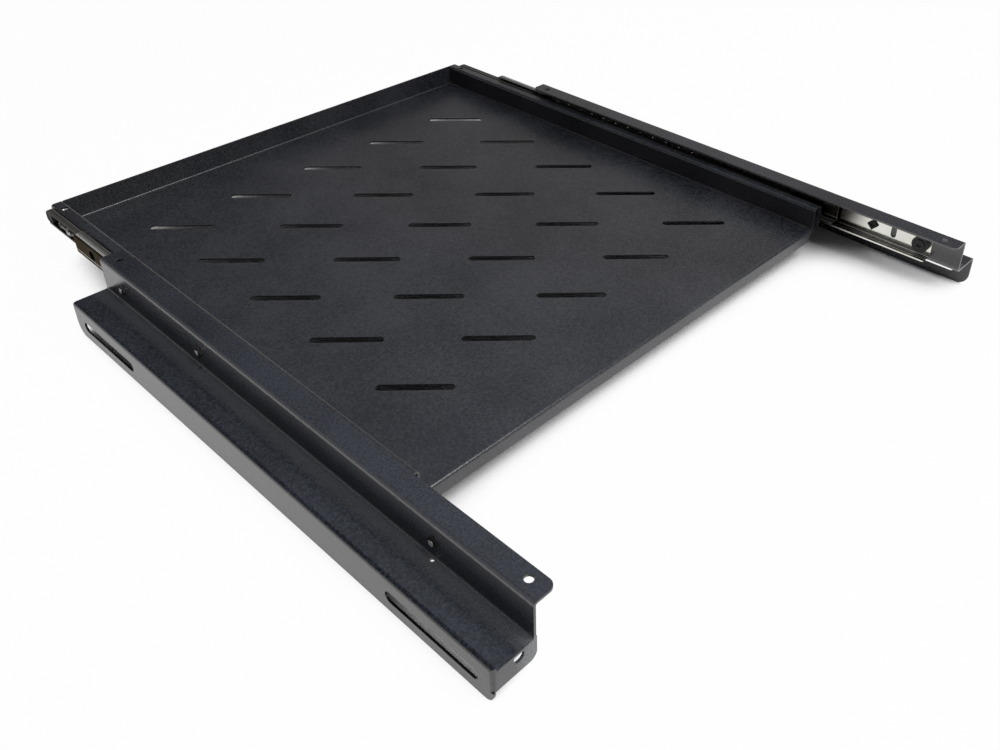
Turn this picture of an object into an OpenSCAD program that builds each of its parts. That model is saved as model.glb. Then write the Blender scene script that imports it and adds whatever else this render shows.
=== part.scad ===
// Sliding rack shelf: a folded sheet tray on two telescopic ball slides, each
// slide screwed to a stepped bracket that bolts to the posts of a rack.
// X runs across the shelf, Y from the open front (-Y) to the rear, Z up.
// The shelf is drawn partly pulled out. The origin is under the middle of it.

/* [Rack] */
// Centre distance of the two rows of post holes across the rack
rack_hole_span = 465.1; // [460:0.1:470]
// Clear opening between the posts
rack_opening = 450; // [446:0.5:456]
// Gap between a post and the wall of a bracket
rack_gap = 1; // [0.5:0.5:3]

/* [Tray] */
// Depth of the tray from front wall to rear bend
tray_len = 434; // [380:1:500]
// How far the tray is pulled out of the brackets
tray_out = 115; // [0:5:200]
// Thickness of the tray's sheet
tray_t = 1.2; // [1:0.1:1.5]
// Height of the tray's walls above its floor
tray_wall_h = 18; // [17:0.5:19]
// Width of each folded side rail, outside
rail_w = 9.8; // [8:0.1:14]
// Inside radius of the tray's bends
tray_bend_r = 1; // [0.6:0.1:1.5]
// Height of the lip that turns down at the rear edge
rear_lip_h = 10; // [6:1:16]
// Corner radius at the ends of the lip
lip_corner_r = 7; // [2:0.5:8]
// Corner radius at the front foot of each rail's outer wall
rail_corner_r = 6; // [2:0.5:8]
// Diameter of the hole near the front end of a rail's top
rail_hole_d = 5; // [3:0.5:6]
// Distance of that hole from the front of the tray
rail_hole_in = 14; // [8:1:30]

/* [Tray slots] */
// Number of slots along and across the floor
slot_rows = 5; // [3:1:5]
// Centre distance of the slots both ways
slot_pitch = 71.5; // [66:0.5:74]
// Overall length of a slot, which lies at 45 degrees
slot_len = 50; // [30:1:60]
// Width of a slot
slot_w = 6; // [4:0.5:9]

/* [Brackets] */
// How much longer a bracket is than the closed slide
bracket_extra = 25; // [15:1:100]
// Thickness of the brackets' sheet
bracket_t = 1.5; // [1.2:0.1:2]
// Inside radius of the brackets' bends
bracket_bend_r = 1; // [0.8:0.1:1.5]
// Height of the outer wall, from its foot to the step
step_z = 25; // [22:0.5:32]
// Height of the inner wall, from the step to the top flange
bracket_wall_h = 25; // [24.5:0.5:30]
// Width of the step between the two walls
step_w = 25.5; // [22:0.5:32]
// Width of the top flange that covers the slide
top_flange_w = 16; // [12:0.5:20]
// Corner radius of the flanges
flange_corner_r = 5; // [2:0.5:8]
// Corner radius at the feet of the outer wall
foot_corner_r = 9; // [2:0.5:10]
// Diameter of the hole at each end of the top flange
top_hole_d = 5.2; // [4:0.1:8]
// Distance of that hole from the end of the bracket
top_hole_in = 12; // [8:0.5:20]
// Distance of that hole from the outer face of the inner wall
top_hole_edge = 9; // [8:0.5:10]

/* [Bracket slots] */
// Overall length of the slots in the outer wall
post_slot_len = 70; // [40:1:90]
// Width of those slots
post_slot_w = 8; // [5:0.5:9]
// Distance of a slot's middle from the end of the bracket
post_slot_in = 47; // [47:1:60]
// Height of the slots above the foot
post_slot_z = 11; // [10:0.5:13]

/* [Rear tab] */
// Width of the tab that turns in from the outer wall of the right bracket
tab_w = 29; // [26:0.5:31]
// Height of the tab's lower edge above the foot
tab_z = 8; // [6:0.5:10]
// How far the tab lies in from the end of the step
tab_inset = 1.5; // [1:0.5:3]
// Diameter of the rack screw hole in the tab
tab_hole_d = 7; // [5:0.1:7.5]
// Corner radius of the outer wall's foot under the tab
tab_foot_r = 6.5; // [2:0.5:7]
// Height of that hole above the foot
tab_hole_z = 18.8; // [17:0.1:19]

/* [Slides] */
// Length of a slide, closed
slide_len = 405; // [380:5:410]
// Height of a slide
slide_h = 22; // [21.6:0.1:22.4]
// Thickness of a slide between bracket and tray
slide_w = 12.7; // [12.7:0.1:13.5]
// Height of the slide's middle above the step
slide_mid = 12; // [11.8:0.1:12.2]
// Distance of the slide's front end from the front of the bracket
slide_in = 2; // [1:0.5:5]
// How much shorter the middle member is
middle_short = 20; // [15:1:25]
// Thickness of the members' webs
web_t = 1; // [0.8:0.1:1.1]
// Thickness of the members' lips
lip_t = 1.1; // [1:0.1:1.1]
// Depth of the outer member's lips
outer_lip = 8.4; // [7.6:0.1:9]
// Distance of the middle member's web from the bracket
middle_web_x = 3.6; // [3.6:0.1:3.8]
// Depth of the middle member's lips, web included
middle_lip = 6.8; // [6.6:0.1:7]
// Depth of the inner member's lips, web included
inner_lip = 6.1; // [5.8:0.1:6.3]
// Corner radius of the members' bends, outside
member_r = 1.8; // [1.6:0.1:2]
// Corner radius of the members' ends, seen from the side
end_r = 3; // [1:0.5:4]
// Corner radius of the inner member's ends, seen from the side and from above
inner_end_r = 5; // [2:0.5:5.2]

/* [Balls and cages] */
// Diameter of the balls
ball_d = 2.2; // [2.1:0.05:2.3]
// Gap between two nested lips
lip_gap = 1.6; // [1.5:0.05:1.7]
// Play of a ball in its groove
ball_play = 0.05; // [0.02:0.01:0.08]
// Play of a ball in its cage
pocket_play = 0.1; // [0.05:0.05:0.2]
// Distance of the outer balls from the bracket
outer_ball_x = 6; // [5.9:0.05:6.1]
// Distance of the inner balls from the bracket
inner_ball_x = 8.8; // [8.7:0.05:8.9]
// Length of a cage
cage_len = 175; // [120:5:180]
// Distance of a cage's front end from the closed slide's front
cage_in = 105; // [102:1:108]
// Number of balls along one side of a cage
ball_count = 12; // [6:1:12]
// Thickness of the cages
cage_t = 0.4; // [0.3:0.05:0.5]

/* [Fasteners] */
// Thread diameter of the slide screws
screw_d = 4; // [3:0.5:4]
// Head diameter of the screws that hold a slide to the tray
screw_head_d = 7.2; // [6:0.1:7.6]
// Side of the square heads of the screws that hold a slide to its bracket
square_head = 6.2; // [5:0.1:6.4]
// Head height of the screws that hold a slide to its bracket
bracket_head_h = 1.6; // [1.2:0.1:1.6]
// Head height of the screws that hold a slide to the tray
tray_head_h = 2; // [1.6:0.1:2.2]
// Thickness of the square nuts of the bracket screws
nut_t = 1.2; // [0.8:0.1:3]
// How far the bracket screws stand out of their nuts
screw_out = 0.8; // [0.5:0.1:5]
// How far the tray screws stand out inside the rail
tray_screw_out = 2; // [1:0.5:4]
// Places of the bracket screws along the closed slide
bracket_screw_y1 = 27; // [24:0.5:34]
// Second bracket screw
bracket_screw_y2 = 128.5; // [110:0.5:150]
// Third bracket screw, from the rear end of the slide
bracket_screw_rear = 48.5; // [46:0.5:55]
// First tray screw, from the front end of the inner member
tray_screw_y1 = 64; // [62:1:80]
// Second tray screw
tray_screw_y2 = 200; // [160:1:240]
// Third tray screw, from the rear end of the inner member
tray_screw_rear = 60; // [40:1:100]
// Diameter of the small hole at the foot of the wall under each screw
foot_hole_d = 2.5; // [1.5:0.5:4]

/* [Levers and bumpers] */
// Length of the release lever
lever_len = 37; // [34:1:38]
// Thickness of the release lever
lever_t = 4; // [3:0.1:4.2]
// Height of the lever's finger end
lever_tip_h = 5; // [4:0.5:5]
// Height of the lever's tail
lever_tail_h = 3.2; // [2.5:0.1:3.6]
// Distance of the lever's finger end from the end of the inner member
lever_in = 21; // [20:1:22]
// Distance of the lever's rivet from the end of the inner member
rivet_in = 39; // [38:1:40]
// Diameter of the lever's rivet
rivet_d = 3; // [2:0.5:3]
// Diameter of the rivet's head
rivet_head_d = 5; // [4:0.5:5.5]
// Distance of the round hole in the web from the end of the inner member
nose_hole_in = 13; // [10:1:14]
// Diameter of the round rubber bumper at the rear of the slide
bumper_d = 13; // [8:0.5:13]
// Distance of the bumper from the rear end of the slide
bumper_in = 1.4; // [1:0.1:1.5]
// Thickness of the bumper, which stops the middle member's web
bumper_w = 3.8; // [3.4:0.1:4]
// Diameter of the raised ring on the bumper
bumper_ring_d = 8; // [6:0.5:9]

/* [Hidden] */
$fn = 48;
// One overrun serves all cuts
over = 1;
// How far a bend's ends overlap the flat sheet next to it
bend_overlap = 0.1;
// Running gap between the rivet and the lever, and under its head
rivet_play = 0.06;
lever_gap = 0.4;
// Least gap between the bumper's ring and the inner member's lips
bumper_play = 0.2;
// Relief between the tab and the step above it
tab_relief = 0.3;
// Share of the pull-out that each moving part of a slide makes
middle_travel_share = 0.5;
outer_cage_share = 0.25;
inner_cage_share = 0.75;

// Places along Y
bracket_len = slide_len + bracket_extra;
total_len = bracket_len + tray_out;
bracket_rear = total_len / 2;
bracket_front = bracket_rear - bracket_len;
tray_front = bracket_front - tray_out;
slide_front = bracket_front + slide_in;

// Heights
bracket_top = step_z + bracket_wall_h;
slide_z = step_z + slide_mid;
floor_z = step_z;
rail_top = floor_z + tray_wall_h;

// Places across X, for the right side
wall_x = rack_opening / 2 - rack_gap;
wall_in_x = wall_x - bracket_t;
outer_x = wall_x + step_w;
rail_x = wall_in_x - slide_w;
well_x = rail_x - rail_w;
bend_out_r = bracket_bend_r + bracket_t;
tray_out_r = tray_bend_r + tray_t;

// Nested half heights of the members
outer_h = slide_h / 2;
middle_h = outer_h - lip_t - lip_gap;
inner_h = middle_h - lip_t - lip_gap;
outer_ball_z = outer_h - lip_t - lip_gap / 2;
inner_ball_z = middle_h - lip_t - lip_gap / 2;
middle_len = slide_len - middle_short;
inner_web_x = slide_w - web_t;

// A rectangle between two corners
module rect(x0, z0, x1, z1) {
    translate([x0, z0])
        square([x1 - x0, z1 - z0]);
}

// A rectangle between two corners with round corners
module round_rect(x0, z0, x1, z1, r) {
    rect(x0 + r, z0, x1 - r, z1);
    rect(x0, z0 + r, x1, z1 - r);
    for (x = [x0 + r, x1 - r], z = [z0 + r, z1 - r])
        translate([x, z])
            circle(r = r);
}

// A bend in a sheet: a quarter of a ring round (x, z), turned by quarter turns, whose
// short straight ends overlap the flat stretches that it joins
module bend(x, z, inside_r, t, turns) {
    r = inside_r + t;
    translate([x, z])
        rotate(90 * turns) {
            intersection() {
                difference() {
                    circle(r = r);
                    circle(r = inside_r);
                }
                square(r + over);
            }
            rect(inside_r, -bend_overlap, r, 0);
            rect(-bend_overlap, inside_r, 0, r);
        }
}

// The closed outer corner of three sheets that are bent the same way: two quarter rolls
// that cross, with their middle lines at the origin
module rolled_corner(r) {
    intersection() {
        translate([-bend_overlap, -bend_overlap, -bend_overlap])
            cube(r + over);
        translate([0, 0, -over])
            cylinder(r = r, h = r + 2 * over);
        rotate([90, 0, 0])
            cylinder(r = r, h = 2 * (r + over), center = true);
    }
}

// A profile drawn in X and Z, run along Y from y0
module run_y(y0, len) {
    translate([0, y0 + len, 0])
        rotate([90, 0, 0])
            linear_extrude(height = len)
                children();
}

// An outline drawn in Y and Z, given a thickness along X from x0
module thick_x(x0, t) {
    translate([x0, 0, 0])
        rotate([90, 0, 90])
            linear_extrude(height = t)
                children();
}

// The waste outside a round corner at the origin, in the quarter where both are positive
module corner_waste(r) {
    difference() {
        translate([-r, -r])
            square(r + over);
        translate([-r, -r])
            circle(r = r);
        translate([-2 * r, -2 * r])
            square([2 * r, r]);
        translate([-2 * r, -2 * r])
            square([r, 2 * r]);
    }
}

// A slot with round ends along the first axis, round the origin
module slot_2d(len, w) {
    rect(-(len - w) / 2, -w / 2, (len - w) / 2, w / 2);
    for (x = [-(len - w) / 2, (len - w) / 2])
        translate([x, 0])
            circle(d = w);
}

module left() {
    mirror([1, 0, 0])
        children();
}

// The slide's own place: X from the bracket's wall towards the tray, Y from the
// front end, Z from the middle height. pulled is how far the piece has moved out.
module in_slide(pulled = 0) {
    translate([wall_in_x, slide_front - pulled, slide_z])
        mirror([1, 0, 0])
            children();
}

// Tray: floor, front wall, two box rails and a rear lip, folded from one sheet
module rail_profile() {
    r = tray_bend_r;
    bend(well_x - r, floor_z + r, r, tray_t, 3);
    rect(well_x, floor_z + r, well_x + tray_t, rail_top - tray_out_r);
    bend(well_x + tray_out_r, rail_top - tray_out_r, r, tray_t, 1);
    rect(well_x + tray_out_r, rail_top - tray_t, rail_x - tray_out_r, rail_top);
    bend(rail_x - tray_out_r, rail_top - tray_out_r, r, tray_t, 0);
    rect(rail_x - tray_t, floor_z, rail_x, rail_top - tray_out_r);
}

module floor_slots() {
    mid = (slot_rows - 1) / 2;
    for (i = [0 : slot_rows - 1], j = [0 : slot_rows - 1])
        translate([(j - mid) * slot_pitch, tray_front + tray_len / 2 + (i - mid) * slot_pitch])
            rotate(-45)
                slot_2d(slot_len, slot_w);
}

// Waste at the round corners of the rail's outer wall and of the rear lip
module tray_corners() {
    rear = tray_front + tray_len;
    thick_x(rail_x - tray_t - over, tray_t + 2 * over)
        translate([tray_front, floor_z])
            rotate(180)
                corner_waste(rail_corner_r);
    run_y(rear - tray_t - over, tray_t + 2 * over)
        translate([well_x - tray_bend_r, floor_z - rear_lip_h])
            rotate(270)
                corner_waste(lip_corner_r);
}

module tray_sheet() {
    half = well_x - tray_bend_r;
    r = tray_bend_r;
    rear = tray_front + tray_len;
    difference() {
        union() {
            translate([-half, tray_front + tray_out_r, floor_z - tray_t])
                cube([2 * half, tray_len - 2 * tray_out_r, tray_t]);
            run_y(tray_front, tray_len)
                rail_profile();
            left()
                run_y(tray_front, tray_len)
                    rail_profile();
            thick_x(-half, 2 * half) {
                bend(tray_front + tray_out_r, floor_z + r, r, tray_t, 2);
                rect(tray_front, floor_z + r, tray_front + tray_t, rail_top);
                bend(rear - tray_out_r, floor_z - tray_out_r, r, tray_t, 0);
                rect(rear - tray_t, floor_z - rear_lip_h, rear, floor_z - tray_out_r);
            }
            translate([-well_x - tray_t / 2, tray_front, floor_z + r])
                cube([2 * well_x + tray_t, tray_t, tray_wall_h - r]);
        }
        translate([0, 0, floor_z - tray_t - over])
            linear_extrude(height = tray_t + 2 * over)
                floor_slots();
        for (x = [-1, 1])
            translate([x * (well_x + rail_w / 2), tray_front + rail_hole_in, rail_top - tray_t - over])
                cylinder(d = rail_hole_d, h = tray_t + 2 * over);
        for (y = tray_screw_places, x = [-1, 1])
            translate([x * (rail_x + over), tray_front + slide_in + y, slide_z])
                rotate([0, -90 * x, 0])
                    cylinder(d = screw_d, h = tray_t + 2 * over);
        tray_corners();
        left()
            tray_corners();
    }
}

module tray() {
    color("#2c2e33")
        tray_sheet();
}

// Bracket: top flange, inner wall, step and outer wall, folded from one sheet
module bracket_inner_profile() {
    t = bracket_t;
    r = bracket_bend_r;
    rect(wall_x - top_flange_w, bracket_top - t, wall_x - bend_out_r, bracket_top);
    bend(wall_x - bend_out_r, bracket_top - bend_out_r, r, t, 0);
    rect(wall_in_x, step_z + r, wall_x, bracket_top - bend_out_r);
    bend(wall_x + r, step_z + r, r, t, 2);
    rect(wall_x + r, step_z - t, outer_x - bend_out_r, step_z);
}

module bracket_outer_profile() {
    bend(outer_x - bend_out_r, step_z - bend_out_r, bracket_bend_r, bracket_t, 0);
    rect(outer_x - bracket_t, 0, outer_x, step_z - bend_out_r);
}

// The tab that turns in from the rear end of the outer wall, with the rack hole
module rear_tab() {
    t = bracket_t;
    rear = bracket_rear - tab_inset;
    top = step_z - t - tab_relief;
    bend_top = step_z - bend_out_r + bend_overlap;
    in_x = outer_x - tab_w;
    translate([0, 0, tab_z])
        linear_extrude(height = bend_top - tab_z)
            bend(outer_x - bend_out_r, rear - bend_out_r, bracket_bend_r, t, 0);
    difference() {
        run_y(rear - t, t)
            difference() {
                rect(in_x, tab_z, outer_x - bend_out_r, top);
                translate([in_x, tab_z])
                    rotate(180)
                        corner_waste(flange_corner_r);
            }
        translate([rack_hole_span / 2, rear + over, tab_hole_z])
            rotate([90, 0, 0])
                cylinder(d = tab_hole_d, h = t + 2 * over);
    }
}

// The wall's foot corners: the first at the front end, the second at the rear end
module foot_corners(rear, rear_r) {
    translate([bracket_front, 0])
        rotate(180)
            corner_waste(foot_corner_r);
    translate([rear, 0])
        rotate(270)
            corner_waste(rear_r);
}

// The outer wall with the tab at its rear end, or with a plain end
module outer_wall(has_tab) {
    foot_end = bracket_rear - (has_tab ? tab_inset : 0);
    wall_end = bracket_rear - (has_tab ? tab_inset + bend_out_r : 0);
    difference() {
        union() {
            run_y(bracket_front, wall_end - bracket_front)
                bracket_outer_profile();
            if (has_tab) {
                thick_x(outer_x - bracket_t, bracket_t)
                    rect(wall_end - over, 0, foot_end, tab_z - tab_relief);
                rear_tab();
                translate([outer_x - bend_out_r, wall_end, step_z - bend_out_r])
                    rolled_corner(bend_out_r);
            }
        }
        thick_x(outer_x - bracket_t - over, bracket_t + 2 * over) {
            foot_corners(foot_end, has_tab ? tab_foot_r : foot_corner_r);
            for (y = [bracket_front + post_slot_in, bracket_rear - post_slot_in])
                translate([y, post_slot_z])
                    slot_2d(post_slot_len, post_slot_w);
        }
    }
}

module bracket_sheet(has_tab) {
    outer_wall(has_tab);
    difference() {
        run_y(bracket_front, bracket_len)
            bracket_inner_profile();
        translate([0, 0, bracket_top - bracket_t - over])
            linear_extrude(height = bracket_t + 2 * over) {
                translate([wall_x - top_flange_w, bracket_rear])
                    rotate(90)
                        corner_waste(flange_corner_r);
                translate([wall_x - top_flange_w, bracket_front])
                    rotate(180)
                        corner_waste(flange_corner_r);
            }
        for (y = [bracket_front + top_hole_in, bracket_rear - top_hole_in])
            translate([wall_x - top_hole_edge, y, bracket_top - bracket_t - over])
                cylinder(d = top_hole_d, h = bracket_t + 2 * over);
        for (y = bracket_screw_places) {
            translate([wall_in_x - over, slide_front + y, slide_z])
                rotate([0, 90, 0])
                    cylinder(d = screw_d, h = bracket_t + 2 * over);
            translate([wall_x + (bracket_bend_r + foot_hole_d) / 2, slide_front + y, step_z])
                cylinder(d = foot_hole_d, h = 2 * (bracket_t + over), center = true);
        }
    }
}

module left_bracket() {
    color("#30333a")
        left()
            bracket_sheet(false);
}

module right_bracket() {
    color("#30333a")
        bracket_sheet(true);
}

// Slides: places of the holes and screws along the slide
bracket_screw_places = [bracket_screw_y1, bracket_screw_y2, slide_len - bracket_screw_rear];
tray_screw_places = [tray_screw_y1, tray_screw_y2, slide_len - tray_screw_rear];
// Spare holes of the outer member, as shares of the slide's length
spare_hole_shares = [0.19, 0.44, 0.66];
// Oblong hole near the rear end of the outer member
oblong_from_rear = 31;
oblong_h = 9.5;
oblong_w = 4.5;
// Access holes of the middle member and the hole at the front of the inner one
access_d = 9;
nose_hole_d = 5;

// A channel section: web from x0, lips to x1, half height h
module channel(x0, x1, h) {
    difference() {
        round_rect(x0, -h, x1 + member_r, h, member_r);
        rect(x1, -h - over, x1 + member_r + over, h + over);
        round_rect(x0 + web_t, lip_t - h, x1 + 2 * member_r, h - lip_t, member_r - web_t);
    }
}

// Ball grooves along both lips, at depth x and half height z
module grooves(x, z) {
    for (s = [-1, 1])
        translate([x, s * z])
            circle(r = ball_d / 2 + ball_play);
}

// Round corners of a member's ends, seen from the side
module end_waste(len, h, r) {
    for (y = [0, 1], z = [0, 1])
        translate([y * len, (2 * z - 1) * h])
            mirror([1 - y, 0])
                mirror([0, 1 - z])
                    corner_waste(r);
}

module web_hole(y, x0, d) {
    translate([x0 - over, y, 0])
        rotate([0, 90, 0])
            cylinder(d = d, h = web_t + 2 * over);
}

// Outer member, fixed to the bracket
module outer_member() {
    difference() {
        run_y(0, slide_len)
            difference() {
                channel(0, outer_lip, outer_h);
                grooves(outer_ball_x, outer_ball_z);
            }
        thick_x(-over, slide_w + 2 * over)
            end_waste(slide_len, outer_h, end_r);
        for (y = bracket_screw_places)
            web_hole(y, 0, screw_d);
        thick_x(-over, web_t + 2 * over) {
            translate([slide_len - oblong_from_rear, 0])
                rotate(90)
                    slot_2d(oblong_h, oblong_w);
            for (s = spare_hole_shares)
                translate([s * slide_len, 0])
                    slot_2d(oblong_h, oblong_w);
        }
    }
}

// Middle member, which runs half as far as the tray
module middle_member() {
    difference() {
        run_y(0, middle_len)
            difference() {
                channel(middle_web_x, middle_web_x + middle_lip, middle_h);
                grooves(outer_ball_x, outer_ball_z);
                grooves(inner_ball_x, inner_ball_z);
            }
        thick_x(middle_web_x - over, slide_w + 2 * over)
            end_waste(middle_len, middle_h, end_r);
        for (y = bracket_screw_places)
            web_hole(y, middle_web_x, access_d);
    }
}

// Inner member, fixed to the tray's rail
module inner_member() {
    difference() {
        run_y(0, slide_len)
            difference() {
                translate([slide_w, 0])
                    mirror([1, 0])
                        channel(0, inner_lip, inner_h);
                grooves(inner_ball_x, inner_ball_z);
            }
        thick_x(-over, slide_w + 2 * over)
            end_waste(slide_len, inner_h, inner_end_r);
        translate([slide_w - inner_lip, 0, -slide_h])
            linear_extrude(height = 2 * slide_h) {
                rotate(180)
                    corner_waste(inner_end_r);
                translate([0, slide_len])
                    rotate(90)
                        corner_waste(inner_end_r);
            }
        for (y = tray_screw_places)
            web_hole(y, inner_web_x, screw_d);
        web_hole(nose_hole_in, inner_web_x, nose_hole_d);
        web_hole(rivet_in, inner_web_x, rivet_d);
    }
}

// Places of the balls along a cage
ball_step = cage_len / ball_count;
ball_places = [for (k = [0 : ball_count - 1]) cage_in + (k + 1 / 2) * ball_step];

// Cage: a thin channel between two members, with a pocket for every ball
module cage(x0, ball_x, ball_z) {
    h = ball_z + cage_t / 2;
    difference() {
        run_y(cage_in, cage_len)
            difference() {
                rect(x0, -h, ball_x + ball_d / 2, h);
                rect(x0 + cage_t, cage_t - h, ball_x + ball_d, h - cage_t);
            }
        for (y = ball_places)
            translate([ball_x, y, -h - over])
                cylinder(d = ball_d + 2 * pocket_play, h = 2 * (h + over));
    }
}

module balls(ball_x, ball_z) {
    for (y = ball_places, s = [-1, 1])
        translate([ball_x, y, s * ball_z])
            sphere(d = ball_d, $fn = 24);
}

outer_cage_x = (web_t + bracket_head_h + middle_web_x - cage_t) / 2;
inner_cage_x = middle_web_x + web_t + lip_gap / 4;

module outer_cage() {
    cage(outer_cage_x, outer_ball_x, outer_ball_z);
}

module inner_cage() {
    cage(inner_cage_x, inner_ball_x, inner_ball_z);
}

// Cross recess for a driver, sunk into a head whose top is at the origin
module cross_recess(depth) {
    for (a = [0, 90])
        rotate(a)
            translate([-screw_d / 2, -screw_d / 8, -over])
                cube([screw_d, screw_d / 4, over + depth]);
}

// Screw with a low square head that stands on its corner, through the bracket's wall
module bracket_screws() {
    top_x = web_t + bracket_head_h;
    for (y = bracket_screw_places)
        translate([top_x, y, 0])
            rotate([0, -90, 0]) {
                difference() {
                    rotate(45)
                        translate([-square_head / 2, -square_head / 2, 0])
                            cube([square_head, square_head, bracket_head_h]);
                    cross_recess(bracket_head_h / 2);
                }
                translate([0, 0, bracket_head_h - over / 2])
                    cylinder(d = screw_d, h = over / 2 + web_t + bracket_t + nut_t + screw_out);
                translate([0, 0, bracket_head_h + web_t + bracket_t])
                    rotate(45)
                        translate([-square_head / 2, -square_head / 2, 0])
                            cube([square_head, square_head, nut_t]);
            }
}

// Screw with a round head, through the inner member and the tray's rail
module tray_screws() {
    bevel = tray_head_h / 4;
    for (y = tray_screw_places)
        translate([inner_web_x - tray_head_h, y, 0])
            rotate([0, 90, 0]) {
                difference() {
                    union() {
                        cylinder(d1 = screw_head_d - 2 * bevel, d2 = screw_head_d, h = bevel);
                        translate([0, 0, bevel])
                            cylinder(d = screw_head_d, h = tray_head_h - bevel);
                    }
                    cross_recess(tray_head_h / 2);
                }
                translate([0, 0, tray_head_h - over / 2])
                    cylinder(d = screw_d, h = over / 2 + web_t + tray_t + tray_screw_out);
            }
}

// Release lever: a finger end with a round dimple, a waist round the rivet and a thin tail
lever_x = inner_web_x - lever_gap - lever_t;
module release_lever() {
    tail_y = lever_in + lever_len - lever_tail_h / 2;
    tip_y = lever_in + lever_tip_h / 2;
    difference() {
        thick_x(lever_x, lever_t) {
            translate([tip_y, 0])
                circle(d = lever_tip_h);
            rect(tip_y, -lever_tail_h / 2, tail_y, lever_tail_h / 2);
            translate([rivet_in, 0])
                circle(d = rivet_head_d + 2 * web_t);
            translate([tail_y, 0])
                circle(d = lever_tail_h);
        }
        translate([lever_x - over, rivet_in, 0])
            rotate([0, 90, 0])
                cylinder(d = rivet_d + 2 * rivet_play, h = lever_t + 2 * over);
        thick_x(lever_x - over, over + lever_t / 4)
            translate([tip_y, 0])
                circle(d = lever_tip_h / 2);
    }
}

// Rivet: set in the web of the inner member, it holds the lever
module lever_rivet() {
    translate([slide_w, rivet_in, 0])
        rotate([0, -90, 0])
            cylinder(d = rivet_d, h = slide_w - lever_x + lever_gap + web_t);
    translate([lever_x - lever_gap, rivet_in, 0])
        rotate([0, -90, 0])
            cylinder(d1 = rivet_head_d, d2 = rivet_d, h = web_t);
}

// Bumper: a round rubber pad on the outer member's web, with a raised ring
module rear_bumper() {
    mid_y = slide_len - bumper_in - bumper_d / 2;
    ring_h = web_t - bumper_play;
    thick_x(web_t, bumper_w)
        translate([mid_y, 0])
            circle(d = bumper_d);
    thick_x(web_t, bumper_w + ring_h)
        translate([mid_y, 0])
            difference() {
                circle(d = bumper_ring_d);
                circle(d = bumper_ring_d / 2);
            }
}

module steel() {
    color("#b9bcc0")
        children();
}

module black_plastic() {
    color("#1c1c1e")
        children();
}

middle_pull = tray_out * middle_travel_share;
outer_cage_pull = tray_out * outer_cage_share;
inner_cage_pull = tray_out * inner_cage_share;

module right_outer_member() { steel() in_slide() outer_member(); }
module left_outer_member() { steel() left() in_slide() outer_member(); }
module right_middle_member() { steel() in_slide(middle_pull) middle_member(); }
module left_middle_member() { steel() left() in_slide(middle_pull) middle_member(); }
module right_inner_member() { steel() in_slide(tray_out) inner_member(); }
module left_inner_member() { steel() left() in_slide(tray_out) inner_member(); }
module right_outer_cage() { steel() in_slide(outer_cage_pull) outer_cage(); }
module left_outer_cage() { steel() left() in_slide(outer_cage_pull) outer_cage(); }
module right_inner_cage() { steel() in_slide(inner_cage_pull) inner_cage(); }
module left_inner_cage() { steel() left() in_slide(inner_cage_pull) inner_cage(); }
module right_outer_balls() { steel() in_slide(outer_cage_pull) balls(outer_ball_x, outer_ball_z); }
module left_outer_balls() { steel() left() in_slide(outer_cage_pull) balls(outer_ball_x, outer_ball_z); }
module right_inner_balls() { steel() in_slide(inner_cage_pull) balls(inner_ball_x, inner_ball_z); }
module left_inner_balls() { steel() left() in_slide(inner_cage_pull) balls(inner_ball_x, inner_ball_z); }
module right_rear_bumper() { black_plastic() in_slide() rear_bumper(); }
module left_rear_bumper() { black_plastic() left() in_slide() rear_bumper(); }
module right_bracket_screws() { steel() in_slide() bracket_screws(); }
module left_bracket_screws() { steel() left() in_slide() bracket_screws(); }
module right_tray_screws() { steel() in_slide(tray_out) tray_screws(); }
module left_tray_screws() { steel() left() in_slide(tray_out) tray_screws(); }
module right_release_lever() { black_plastic() in_slide(tray_out) release_lever(); }
module left_release_lever() { black_plastic() left() in_slide(tray_out) release_lever(); }
module right_lever_rivet() { steel() in_slide(tray_out) lever_rivet(); }
module left_lever_rivet() { steel() left() in_slide(tray_out) lever_rivet(); }

tray();
left_bracket();
right_bracket();
left_outer_member();
right_outer_member();
left_middle_member();
right_middle_member();
left_inner_member();
right_inner_member();
left_outer_cage();
right_outer_cage();
left_inner_cage();
right_inner_cage();
left_outer_balls();
right_outer_balls();
left_inner_balls();
right_inner_balls();
left_rear_bumper();
right_rear_bumper();
left_bracket_screws();
right_bracket_screws();
left_tray_screws();
right_tray_screws();
left_release_lever();
right_release_lever();
left_lever_rivet();
right_lever_rivet();
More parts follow.
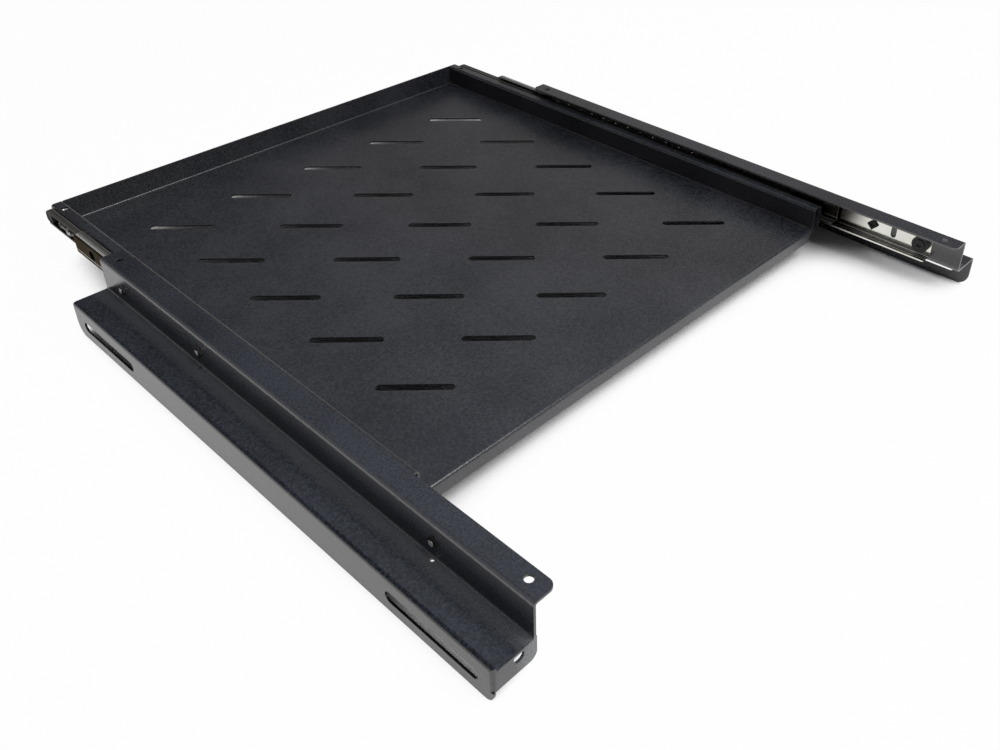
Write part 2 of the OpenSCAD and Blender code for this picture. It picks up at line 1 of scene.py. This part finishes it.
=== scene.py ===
import math
import bpy
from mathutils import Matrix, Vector


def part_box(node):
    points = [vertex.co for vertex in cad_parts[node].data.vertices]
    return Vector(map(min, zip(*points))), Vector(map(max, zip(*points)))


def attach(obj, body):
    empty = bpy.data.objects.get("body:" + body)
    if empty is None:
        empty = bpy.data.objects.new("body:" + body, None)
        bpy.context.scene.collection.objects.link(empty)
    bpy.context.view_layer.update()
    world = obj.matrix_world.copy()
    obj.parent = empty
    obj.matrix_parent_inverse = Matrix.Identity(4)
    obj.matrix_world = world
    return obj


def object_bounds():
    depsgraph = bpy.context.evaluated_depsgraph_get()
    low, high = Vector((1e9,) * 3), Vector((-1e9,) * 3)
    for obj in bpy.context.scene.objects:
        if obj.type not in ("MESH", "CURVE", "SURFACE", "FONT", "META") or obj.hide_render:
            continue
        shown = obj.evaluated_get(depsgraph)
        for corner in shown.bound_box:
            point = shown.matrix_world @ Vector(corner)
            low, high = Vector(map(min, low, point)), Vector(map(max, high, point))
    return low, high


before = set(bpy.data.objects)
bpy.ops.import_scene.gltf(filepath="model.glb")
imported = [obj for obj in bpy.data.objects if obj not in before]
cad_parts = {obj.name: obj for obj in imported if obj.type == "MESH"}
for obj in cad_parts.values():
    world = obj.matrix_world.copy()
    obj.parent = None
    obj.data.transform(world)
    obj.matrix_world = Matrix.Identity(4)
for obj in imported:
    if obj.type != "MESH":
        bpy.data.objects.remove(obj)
cad_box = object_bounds()
scene = bpy.context.scene
scene.view_settings.view_transform = "Standard"

# Tray: one folded steel sheet with a slotted floor, sprayed with a black powder that melts to
# a fine, slightly pebbled skin with a soft sheen. Its cut edges and bends get a lighter tone,
# a painted highlight along them.
pebble_scale, coat_patch_scale = 620.0, 16.0
pebble_strength, pebble_depth = 0.7, 0.00015
pebble_share = 0.75
patch_least, patch_most = 0.05, 0.2
speckle_dark, speckle_light = 0.39, 0.63
coat_rough_swing = 0.02
coat_edge_width, edge_break_up = 0.0006, 0.5
flat_match, edge_match = 0.999, 0.93
edge_patch_scale = 90.0
plain_patch_scale = 25.0
noise_low, noise_high = 0.3, 0.7
narrow_low, narrow_high = 0.35, 0.65


def add_node(tree, kind, settings=None, values=None, sources=None):
    made = tree.nodes.new(kind)
    for key, value in (settings or {}).items():
        setattr(made, key, value)
    for key, value in (values or {}).items():
        made.inputs[key].default_value = value
    for key, source in (sources or {}).items():
        tree.links.new(source, made.inputs[key])
    return made


def calc(tree, operation, *terms):
    made = add_node(tree, "ShaderNodeMath", {"operation": operation, "use_clamp": True})
    for socket, term in zip(made.inputs, terms):
        if isinstance(term, float):
            socket.default_value = term
        else:
            tree.links.new(term, socket)
    return made.outputs["Value"]


def spread(tree, value, low, high, start=noise_low, end=noise_high):
    limits = {"From Min": start, "From Max": end, "To Min": low, "To Max": high}
    made = add_node(tree, "ShaderNodeMapRange", values=limits, sources={"Value": value})
    return made.outputs["Result"]


def between(tree, low, high, factor):
    tones = {"A": (*low, 1.0), "B": (*high, 1.0)}
    made = add_node(tree, "ShaderNodeMix", {"data_type": "RGBA"}, tones, {"Factor": factor})
    return made.outputs["Result"]


def tone_over(tree, under, tone, mask):
    joined = {"A": under, "Factor": mask}
    made = add_node(tree, "ShaderNodeMix", {"data_type": "RGBA"}, {"B": (*tone, 1.0)}, joined)
    return made.outputs["Result"]


def node_group(name, inputs, outputs):
    group = bpy.data.node_groups.new(name, "ShaderNodeTree")
    for label in inputs:
        group.interface.new_socket(label, in_out="INPUT", socket_type="NodeSocketFloat")
    for label in outputs:
        group.interface.new_socket(label, in_out="OUTPUT", socket_type="NodeSocketFloat")
    return group


def make_thin_edges():
    group = node_group("thin_edges", ["Width", "Break Up"], ["Mask"])
    given = add_node(group, "NodeGroupInput").outputs
    place = add_node(group, "ShaderNodeTexCoord")
    surface = add_node(group, "ShaderNodeNewGeometry")
    rounded = add_node(
        group, "ShaderNodeBevel", {"samples": 6}, sources={"Radius": given["Width"]}
    )
    agreement = add_node(
        group,
        "ShaderNodeVectorMath",
        {"operation": "DOT_PRODUCT"},
        sources={0: rounded.outputs["Normal"], 1: surface.outputs["Normal"]},
    )
    on_edge = spread(group, agreement.outputs["Value"], 0.0, 1.0, flat_match, edge_match)
    patches = add_node(
        group,
        "ShaderNodeTexNoise",
        values={"Scale": edge_patch_scale, "Detail": 3.0, "Roughness": 0.6},
        sources={"Vector": place.outputs["Object"]},
    )
    uneven = spread(group, patches.outputs["Fac"], 0.0, 1.0, narrow_low, narrow_high)
    broken = add_node(
        group,
        "ShaderNodeMix",
        {"data_type": "FLOAT"},
        {"A": 1.0},
        {"Factor": given["Break Up"], "B": uneven},
    )
    mask = calc(group, "MULTIPLY", on_edge, broken.outputs["Result"])
    add_node(group, "NodeGroupOutput", sources={"Mask": mask})
    return group


def make_surface_grain():
    group = node_group("surface_grain", ["Scale", "Patch Scale"], ["Grain", "Patches"])
    given = add_node(group, "NodeGroupInput").outputs
    place = add_node(group, "ShaderNodeTexCoord").outputs["Object"]
    fine = add_node(
        group,
        "ShaderNodeTexNoise",
        values={"Detail": 2.0, "Roughness": 0.65},
        sources={"Vector": place, "Scale": given["Scale"]},
    )
    wide = add_node(
        group,
        "ShaderNodeTexNoise",
        values={"Detail": 3.0, "Roughness": 0.5},
        sources={"Vector": place, "Scale": given["Patch Scale"]},
    )
    found = {"Grain": fine.outputs["Fac"], "Patches": wide.outputs["Fac"]}
    add_node(group, "NodeGroupOutput", sources=found)
    return group


thin_edges = make_thin_edges()
surface_grain = make_surface_grain()


def edges_at(tree, width, break_up=edge_break_up):
    values = {"Width": width, "Break Up": break_up}
    made = add_node(tree, "ShaderNodeGroup", {"node_tree": thin_edges}, values)
    return made.outputs["Mask"]


def grain_at(tree, scale, patch_scale=plain_patch_scale):
    values = {"Scale": scale, "Patch Scale": patch_scale}
    made = add_node(tree, "ShaderNodeGroup", {"node_tree": surface_grain}, values)
    return made.outputs["Grain"], made.outputs["Patches"]


def new_material(name):
    material = bpy.data.materials.new(name)
    material.use_nodes = True
    tree = material.node_tree
    return material, tree, tree.nodes["Principled BSDF"]


def raise_surface(tree, shader, height, strength, depth):
    bump = add_node(
        tree,
        "ShaderNodeBump",
        values={"Strength": strength, "Distance": depth},
        sources={"Height": height},
    )
    tree.links.new(bump.outputs["Normal"], shader.inputs["Normal"])


def powder_coat(name, dark, light, edge, rough, ior):
    material, tree, shader = new_material(name)
    shader.inputs["IOR"].default_value = ior
    pebbles, patches = grain_at(tree, pebble_scale, coat_patch_scale)
    cloud = spread(tree, patches, patch_least, patch_most)
    speckle = calc(tree, "MULTIPLY_ADD", pebbles, pebble_share, cloud)
    body = between(
        tree, dark, light, spread(tree, speckle, 0.0, 1.0, speckle_dark, speckle_light)
    )
    # Painted highlight: the edge tone is laid over the coat along cut edges and bends.
    edge_lit_body = tone_over(tree, body, edge, edges_at(tree, coat_edge_width))
    satin = spread(tree, patches, rough - coat_rough_swing, rough + coat_rough_swing)
    tree.links.new(edge_lit_body, shader.inputs["Base Color"])
    tree.links.new(satin, shader.inputs["Roughness"])
    raise_surface(tree, shader, pebbles, pebble_strength, pebble_depth)
    return material


def dress(names, material):
    for name in names:
        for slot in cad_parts[name].material_slots:
            slot.material = material


tray_coat = powder_coat(
    "tray_coat",
    dark=(0.005, 0.006, 0.009),
    light=(0.037, 0.038, 0.044),
    edge=(0.022, 0.023, 0.026),
    rough=0.29,
    ior=1.7,
)
dress(["tray"], tray_coat)

# Brackets: stepped steel sheets, folded and coated as the tray is, and bolted to the rack's
# posts through the long slots in their outer walls. A painted highlight runs along the inner
# wall's foot, and painted light makes the wall paler towards its top.
bracket_coat = powder_coat(
    "bracket_coat",
    dark=(0.005, 0.007, 0.012),
    light=(0.034, 0.040, 0.052),
    edge=(0.045, 0.046, 0.05),
    rough=0.25,
    ior=1.73,
)
bracket_shader = bracket_coat.node_tree.nodes["Principled BSDF"]
bracket_shader.inputs["Specular Tint"].default_value = (1.0, 0.965, 0.935, 1.0)
foot_x, foot_fade_x = 0.2255, 0.236
foot_z, foot_fade_z = 0.026, 0.028
foot_grain_scale, foot_grain_least = 1400.0, 0.3
foot_highlight_tone = (0.18, 0.187, 0.2)
top_light_start_z, top_light_end_z = 0.034, 0.052
top_light_tone = (0.15, 0.15, 0.158)


def sides(piece):
    return [f"{side}_{piece}" for side in ("left", "right")]


def object_axes(tree):
    place = add_node(tree, "ShaderNodeTexCoord").outputs["Object"]
    return add_node(tree, "ShaderNodeSeparateXYZ", sources={"Vector": place}).outputs


def repaint(material, tone, mask):
    tree = material.node_tree
    base = tree.nodes["Principled BSDF"].inputs["Base Color"]
    tree.links.new(tone_over(tree, base.links[0].from_socket, tone, mask), base)


# Painted highlight: a pale, speckled band on the step along the inner wall's foot.
def paint_foot_highlight(material):
    tree = material.node_tree
    at = object_axes(tree)
    outward = calc(tree, "ABSOLUTE", at["X"])
    near_wall = spread(tree, outward, 1.0, 0.0, foot_x, foot_fade_x)
    low_down = spread(tree, at["Z"], 1.0, 0.0, foot_z, foot_fade_z)
    grain, _ = grain_at(tree, foot_grain_scale)
    speckled = spread(tree, grain, foot_grain_least, 1.0, narrow_low, narrow_high)
    corner = calc(tree, "MULTIPLY", near_wall, low_down)
    repaint(material, foot_highlight_tone, calc(tree, "MULTIPLY", corner, speckled))


# Painted light: the wall's sideways faces grow paler towards its top.
def paint_wall_top_light(material):
    tree = material.node_tree
    normal = add_node(tree, "ShaderNodeTexCoord").outputs["Normal"]
    facing = add_node(tree, "ShaderNodeSeparateXYZ", sources={"Vector": normal}).outputs
    sideways = calc(tree, "ABSOLUTE", facing["X"])
    height = spread(tree, object_axes(tree)["Z"], 0.0, 1.0, top_light_start_z, top_light_end_z)
    repaint(material, top_light_tone, calc(tree, "MULTIPLY", height, sideways))


paint_foot_highlight(bracket_coat)
paint_wall_top_light(bracket_coat)
dress(sides("bracket"), bracket_coat)

# Outer slide members: cold-rolled strip, roll-formed into channels, zinc plated bright and
# screwed to the brackets. The rolls leave faint streaks along them. The part the shelf runs
# over is painted dark, painted shade, all but its rolled edges.
streak_across, streak_along = 1800.0, 24.0
streak_strength, streak_depth = 0.15, 0.00004
streak_satin_below, streak_satin_above = 0.04, 0.05
cloud_scale, cloud_patch_scale = 400.0, 30.0
rolled_edge_width, shade_edge_break_up = 0.0005, 0.2
shade_end_y, unshaded_start_y = 0.176, 0.198
front_shade_tone = (0.11, 0.10, 0.085)


def plated(name, low, high, rough):
    material, tree, shader = new_material(name)
    shader.inputs["Metallic"].default_value = 1.0
    place = add_node(tree, "ShaderNodeTexCoord")
    stretch = add_node(
        tree,
        "ShaderNodeMapping",
        values={"Scale": (streak_across, streak_along, streak_across)},
        sources={"Vector": place.outputs["Object"]},
    )
    streaks = add_node(
        tree,
        "ShaderNodeTexNoise",
        values={"Scale": 1.0, "Detail": 3.0, "Roughness": 0.6},
        sources={"Vector": stretch.outputs["Vector"]},
    ).outputs["Fac"]
    _, cloud = grain_at(tree, cloud_scale, cloud_patch_scale)
    zinc = between(tree, low, high, spread(tree, cloud, 0.0, 1.0))
    satin = spread(tree, streaks, rough - streak_satin_below, rough + streak_satin_above)
    tree.links.new(zinc, shader.inputs["Base Color"])
    tree.links.new(satin, shader.inputs["Roughness"])
    raise_surface(tree, shader, streaks, streak_strength, streak_depth)
    return material


# Painted shade: the front of each outer member is painted dark, all but its rolled edges.
def paint_front_shade(material):
    tree = material.node_tree
    rear = spread(tree, object_axes(tree)["Y"], 0.0, 1.0, shade_end_y, unshaded_start_y)
    unshaded = calc(tree, "MAXIMUM", rear, edges_at(tree, rolled_edge_width, shade_edge_break_up))
    repaint(material, front_shade_tone, calc(tree, "SUBTRACT", 1.0, unshaded))


bright_zinc = plated(
    "bright_zinc", low=(0.66, 0.65, 0.60), high=(0.82, 0.81, 0.75), rough=0.14
)
paint_front_shade(bright_zinc)
dress(sides("outer_member"), bright_zinc)

# Ball cages: thin steel strip, pierced with a pocket for each ball and folded to lie between
# two members. The strip is left dull.
cage_strip = plated("cage_strip", low=(0.20, 0.19, 0.17), high=(0.3, 0.29, 0.26), rough=0.38)
dress(sides("outer_cage") + sides("inner_cage"), cage_strip)

# Tray screws and lever rivets: plain zinc-plated steel, headed and turned. The screws hold the
# inner members to the tray's rails, and each rivet carries a lever.
screw_zinc = plated("screw_zinc", low=(0.30, 0.30, 0.28), high=(0.42, 0.42, 0.40), rough=0.32)
dress(sides("tray_screws") + sides("lever_rivet"), screw_zinc)

# Middle and inner slide members: the same rolled strip, painted dark brown grey as painted
# shade.
# Their rolled edges and one line along them carry painted highlights, and so does the outer
# half of the middle member's upper lip, painted light where it comes out of the flange's shade.
dim_spec_tint = (0.5, 0.47, 0.43, 1.0)
edge_highlight_tone = (0.4, 0.39, 0.36)
groove_highlight_z, groove_highlight_half = 0.0325, 0.0006
level_from, level_to = 0.8, 0.95
level_metal = 0.3
shaded_top_share = 0.1


def shaded_plated(name, low, high, lit_top, rough, lit_from_x, lit_to_x):
    material = plated(name, low, high, rough)
    tree = material.node_tree
    shader = tree.nodes["Principled BSDF"]
    shader.inputs["Specular Tint"].default_value = dim_spec_tint
    at = object_axes(tree)
    surface = add_node(tree, "ShaderNodeNewGeometry").outputs["True Normal"]
    facing = add_node(tree, "ShaderNodeSeparateXYZ", sources={"Vector": surface}).outputs
    level = spread(tree, facing["Z"], 0.0, 1.0, level_from, level_to)
    metal = spread(tree, facing["Z"], 1.0, level_metal, level_from, level_to)
    outward = calc(tree, "ABSOLUTE", at["X"])
    outer_half = spread(tree, outward, shaded_top_share, 1.0, lit_from_x, lit_to_x)
    # Painted highlight: a thin light line at one height along each member.
    groove_highlight = calc(tree, "COMPARE", at["Z"], groove_highlight_z, groove_highlight_half)
    # Painted highlight along the rolled edges.
    repaint(material, edge_highlight_tone, edges_at(tree, rolled_edge_width))
    repaint(material, edge_highlight_tone, groove_highlight)
    # Painted light: faces that look upwards are lighter and less metallic, fully so outside the
    # flange's shade.
    repaint(material, lit_top, calc(tree, "MULTIPLY", level, outer_half))
    tree.links.new(metal, shader.inputs["Metallic"])
    return material


# Painted shade: both members are darker copies of the bright zinc.
middle_zinc = shaded_plated(
    "shaded_zinc",
    low=(0.012, 0.011, 0.01),
    high=(0.035, 0.032, 0.028),
    lit_top=(0.8, 0.79, 0.76),
    rough=0.34,
    lit_from_x=0.2145,
    lit_to_x=0.218,
)
inner_zinc = shaded_plated(
    "darker_shaded_zinc",
    low=(0.03, 0.027, 0.024),
    high=(0.07, 0.064, 0.057),
    lit_top=(0.09, 0.085, 0.08),
    rough=0.36,
    lit_from_x=0.21,
    lit_to_x=0.2101,
)
dress(sides("middle_member"), middle_zinc)
dress(sides("inner_member"), inner_zinc)

# Bracket screws and their square nuts: blackened steel, which holds the outer members to the
# brackets. The cut tip of each screw is bright and shows outside its nut.
screw_tip_x = 0.2258
cut_tip_tone = (0.75, 0.75, 0.73)

black_screw = plated("black_screw", low=(0.02, 0.02, 0.021), high=(0.05, 0.05, 0.05), rough=0.4)
screw_tree = black_screw.node_tree
screw_outward = calc(screw_tree, "ABSOLUTE", object_axes(screw_tree)["X"])
cut_tip = calc(screw_tree, "GREATER_THAN", screw_outward, screw_tip_x)
repaint(black_screw, cut_tip_tone, cut_tip)
dress(sides("bracket_screws"), black_screw)

# Balls: hardened steel, ground and polished. Each cage holds two rows of twelve, which roll in
# the grooves between the lips of two members.
ball_grain_scale = 1500.0
ball_smooth, ball_dull = 0.1, 0.2

ball_steel, ball_tree, ball_shader = new_material("ball_steel")
ball_grain, _ = grain_at(ball_tree, ball_grain_scale)
ball_satin = spread(ball_tree, ball_grain, ball_smooth, ball_dull)
ball_shader.inputs["Base Color"].default_value = (0.75, 0.75, 0.76, 1.0)
ball_shader.inputs["Metallic"].default_value = 1.0
ball_tree.links.new(ball_satin, ball_shader.inputs["Roughness"])
dress(sides("outer_balls") + sides("inner_balls"), ball_steel)

# Rear bumpers and release levers: a round pad of black moulded rubber on each outer member's
# web, and a lever of black moulded plastic on a rivet in each inner member. Both moulds have
# a fine spark finish.
spark_scale, spark_patch_scale = 1800.0, 120.0
spark_strength = 0.4
spark_rough_swing = 0.06


def moulded(name, low, high, rough, depth):
    material, tree, shader = new_material(name)
    grain, patches = grain_at(tree, spark_scale, spark_patch_scale)
    body = between(tree, low, high, spread(tree, patches, 0.0, 1.0))
    satin = spread(tree, grain, rough - spark_rough_swing, rough + spark_rough_swing)
    tree.links.new(body, shader.inputs["Base Color"])
    tree.links.new(satin, shader.inputs["Roughness"])
    raise_surface(tree, shader, grain, spark_strength, depth)
    return material


bumper_rubber = moulded(
    "bumper_rubber",
    low=(0.012, 0.012, 0.012),
    high=(0.022, 0.022, 0.021),
    rough=0.62,
    depth=0.0001,
)
lever_plastic = moulded(
    "lever_plastic",
    low=(0.01, 0.01, 0.011),
    high=(0.02, 0.02, 0.021),
    rough=0.45,
    depth=0.00006,
)
dress(sides("rear_bumper"), bumper_rubber)
dress(sides("release_lever"), lever_plastic)

# End plugs: a block of black rubber in the front end of each inner member, between its lips,
# which takes the knock when the slide is pushed home. It has a rounded nose and a shallow
# recess in its outer face.
plug_depth, plug_length, plug_height = 0.0049, 0.0095, 0.0086
plug_back = 0.0002
web_thickness = 0.0011
nose_radius, nose_steps = 0.0028, 6
recess_rim, recess_depth = 0.0011, 0.0009
corner_radius, corner_steps = 0.0003, 2
smooth_angle = math.radians(40)
nose_reach = 0.001
same_height, same_face = 0.000001, 0.00001
facing_sideways = 0.99


def end_plug(side, sign):
    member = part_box(f"{side}_inner_member")
    front_y = member[0].y
    inner_x = sign * (min(abs(member[0].x), abs(member[1].x)) + web_thickness)
    outer_x = inner_x + sign * plug_depth
    middle = (
        inner_x + sign * plug_depth / 2,
        front_y + plug_length / 2 + plug_back,
        (member[0].z + member[1].z) / 2,
    )
    bpy.ops.object.select_all(action="DESELECT")
    bpy.ops.mesh.primitive_cube_add(size=1.0, location=middle)
    plug = bpy.context.object
    plug.name = f"{side}_end_plug"
    plug.dimensions = (plug_depth, plug_length, plug_height)
    bpy.ops.object.transform_apply(location=True, rotation=False, scale=True)

    bpy.ops.object.mode_set(mode="EDIT")
    bpy.ops.mesh.select_mode(type="EDGE")
    bpy.ops.mesh.select_all(action="DESELECT")
    bpy.ops.object.mode_set(mode="OBJECT")
    for edge in plug.data.edges:
        ends = [plug.data.vertices[v].co for v in edge.vertices]
        at_nose = all(end.y < front_y + nose_reach for end in ends)
        edge.select = at_nose and abs(ends[0].z - ends[1].z) < same_height
    bpy.ops.object.mode_set(mode="EDIT")
    bpy.ops.mesh.bevel(offset=nose_radius, segments=nose_steps, affect="EDGES")

    bpy.ops.mesh.select_mode(type="FACE")
    bpy.ops.mesh.select_all(action="DESELECT")
    bpy.ops.object.mode_set(mode="OBJECT")
    for face in plug.data.polygons:
        sideways = abs(face.normal.x) > facing_sideways
        face.select = sideways and abs(face.center.x - outer_x) < same_face
    bpy.ops.object.mode_set(mode="EDIT")
    bpy.ops.mesh.inset(thickness=recess_rim)
    bpy.ops.transform.translate(value=(-sign * recess_depth, 0, 0))
    bpy.ops.object.mode_set(mode="OBJECT")

    rounded = plug.modifiers.new("rounded", "BEVEL")
    rounded.width, rounded.segments = corner_radius, corner_steps
    rounded.limit_method = "ANGLE"
    bpy.ops.object.modifier_apply(modifier="rounded")
    bpy.ops.object.shade_smooth_by_angle(angle=smooth_angle)
    plug.data.materials.append(bumper_rubber)
    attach(plug, "tray")


end_plug("left", -1)
end_plug("right", 1)

# Floor: a plain pale sheet of studio paper. It shows white to the camera and in the metal,
# and keeps the object's soft shadow, which the metal mirrors too.
floor_half = 6.0
shade_reach, shade_samples = 0.15, 12
shade_full, shade_gone = 0.22, 0.5
most_white = 0.97


def seen_as_backdrop(tree):
    rays = add_node(tree, "ShaderNodeLightPath").outputs
    shown = calc(tree, "ADD", rays["Is Camera Ray"], rays["Is Glossy Ray"])
    return calc(tree, "ADD", shown, rays["Is Transmission Ray"])


def paper():
    material, tree, shader = new_material("studio_paper")
    shader.inputs["Base Color"].default_value = (0.8, 0.8, 0.8, 1.0)
    shader.inputs["Roughness"].default_value = 0.9
    shader.inputs["Specular IOR Level"].default_value = 0.0
    open_sky = add_node(
        tree,
        "ShaderNodeAmbientOcclusion",
        {"samples": shade_samples},
        {"Distance": shade_reach},
    ).outputs["AO"]
    open_floor = spread(tree, open_sky, 0.0, most_white, shade_full, shade_gone)
    shown_white = calc(tree, "MULTIPLY", seen_as_backdrop(tree), open_floor)
    white = add_node(tree, "ShaderNodeEmission", values={"Strength": 1.0})
    mixed = add_node(
        tree,
        "ShaderNodeMixShader",
        sources={0: shown_white, 1: shader.outputs["BSDF"], 2: white.outputs["Emission"]},
    )
    output = tree.nodes["Material Output"]
    tree.links.new(mixed.outputs["Shader"], output.inputs["Surface"])
    return material


bpy.ops.object.select_all(action="DESELECT")
bpy.ops.mesh.primitive_plane_add(size=2 * floor_half, location=(0, 0, cad_box[0].z))
floor = bpy.context.object
floor.name = "studio_floor"
floor.data.materials.append(paper())

# World and lamp: a dim cool room with warmer, brighter walls to the left, brown at their far
# end, a cool bright ceiling on that side and white near the horizon. One large soft lamp hangs
# behind the shelf, high up. The black coat mirrors the dim side and keeps its depth.
room_tone, warm_tone = (0.09, 0.09, 0.10), (0.36, 0.34, 0.32)
brown_tone, ceiling_tone = (0.12, 0.10, 0.09), (0.56, 0.61, 0.70)
horizon_tone = (1.0, 1.0, 1.0)
warm_x, brown_x, ceiling_x = (-0.75, -0.35), (-0.88, -0.76), (-0.45, -0.2)
ceiling_z, horizon_z = (0.55, 0.7), (0.1, 0.24)
key_place, key_aim = Vector((-0.2, 1.35, 2.0)), Vector((0, 0, 0))
key_size, key_power = 1.4, 46.0


def make_sky(tree):
    around = add_node(tree, "ShaderNodeTexCoord").outputs["Generated"]
    toward = add_node(tree, "ShaderNodeSeparateXYZ", sources={"Vector": around}).outputs
    warm_side = spread(tree, toward["X"], 1.0, 0.0, *warm_x)
    far_left = spread(tree, toward["X"], 1.0, 0.0, *brown_x)
    high_up = spread(tree, toward["Z"], 0.0, 1.0, *ceiling_z)
    left_half = spread(tree, toward["X"], 1.0, 0.0, *ceiling_x)
    low_down = spread(tree, toward["Z"], 1.0, 0.0, *horizon_z)
    walls = between(tree, room_tone, warm_tone, warm_side)
    walls = tone_over(tree, walls, brown_tone, far_left)
    room = tone_over(tree, walls, ceiling_tone, calc(tree, "MULTIPLY", high_up, left_half))
    horizon = calc(tree, "MULTIPLY", seen_as_backdrop(tree), low_down)
    background = tree.nodes["Background"].inputs
    background["Strength"].default_value = 1.0
    tree.links.new(tone_over(tree, room, horizon_tone, horizon), background["Color"])


world = bpy.data.worlds.new("studio")
scene.world = world
world.use_nodes = True
make_sky(world.node_tree)

key_light = bpy.data.lights.new("key", "AREA")
key_light.shape = "RECTANGLE"
key_light.size, key_light.size_y = key_size, key_size
key_light.energy = key_power
key = bpy.data.objects.new("key", key_light)
scene.collection.objects.link(key)
key.location = key_place
key.rotation_euler = (key_aim - key_place).to_track_quat("-Z", "Y").to_euler()
key.visible_camera = False

# Camera: it stands behind and to the right of the shelf, above it, as in the photograph.
# The picture is a crop of a larger one, so the lens axis lies off its middle.
image_width, image_height = 1000, 750
focal_px = 1008.0
axis_px = (565, 275)
sensor_width = 36.0
nearest, furthest = 0.01, 50.0
camera_place = (0.4381, 0.4904, 0.4271)
camera_turn = (57.092, -0.433, 133.339)

camera_data = bpy.data.cameras.new("camera")
camera = bpy.data.objects.new("camera", camera_data)
scene.collection.objects.link(camera)
scene.camera = camera
camera_data.sensor_width = sensor_width
camera_data.lens = focal_px / image_width * sensor_width
camera_data.shift_x = (image_width / 2 - axis_px[0]) / image_width
camera_data.shift_y = (axis_px[1] - image_height / 2) / image_width
camera_data.clip_start, camera_data.clip_end = nearest, furthest
camera.location = camera_place
camera.rotation_euler = [math.radians(angle) for angle in camera_turn]
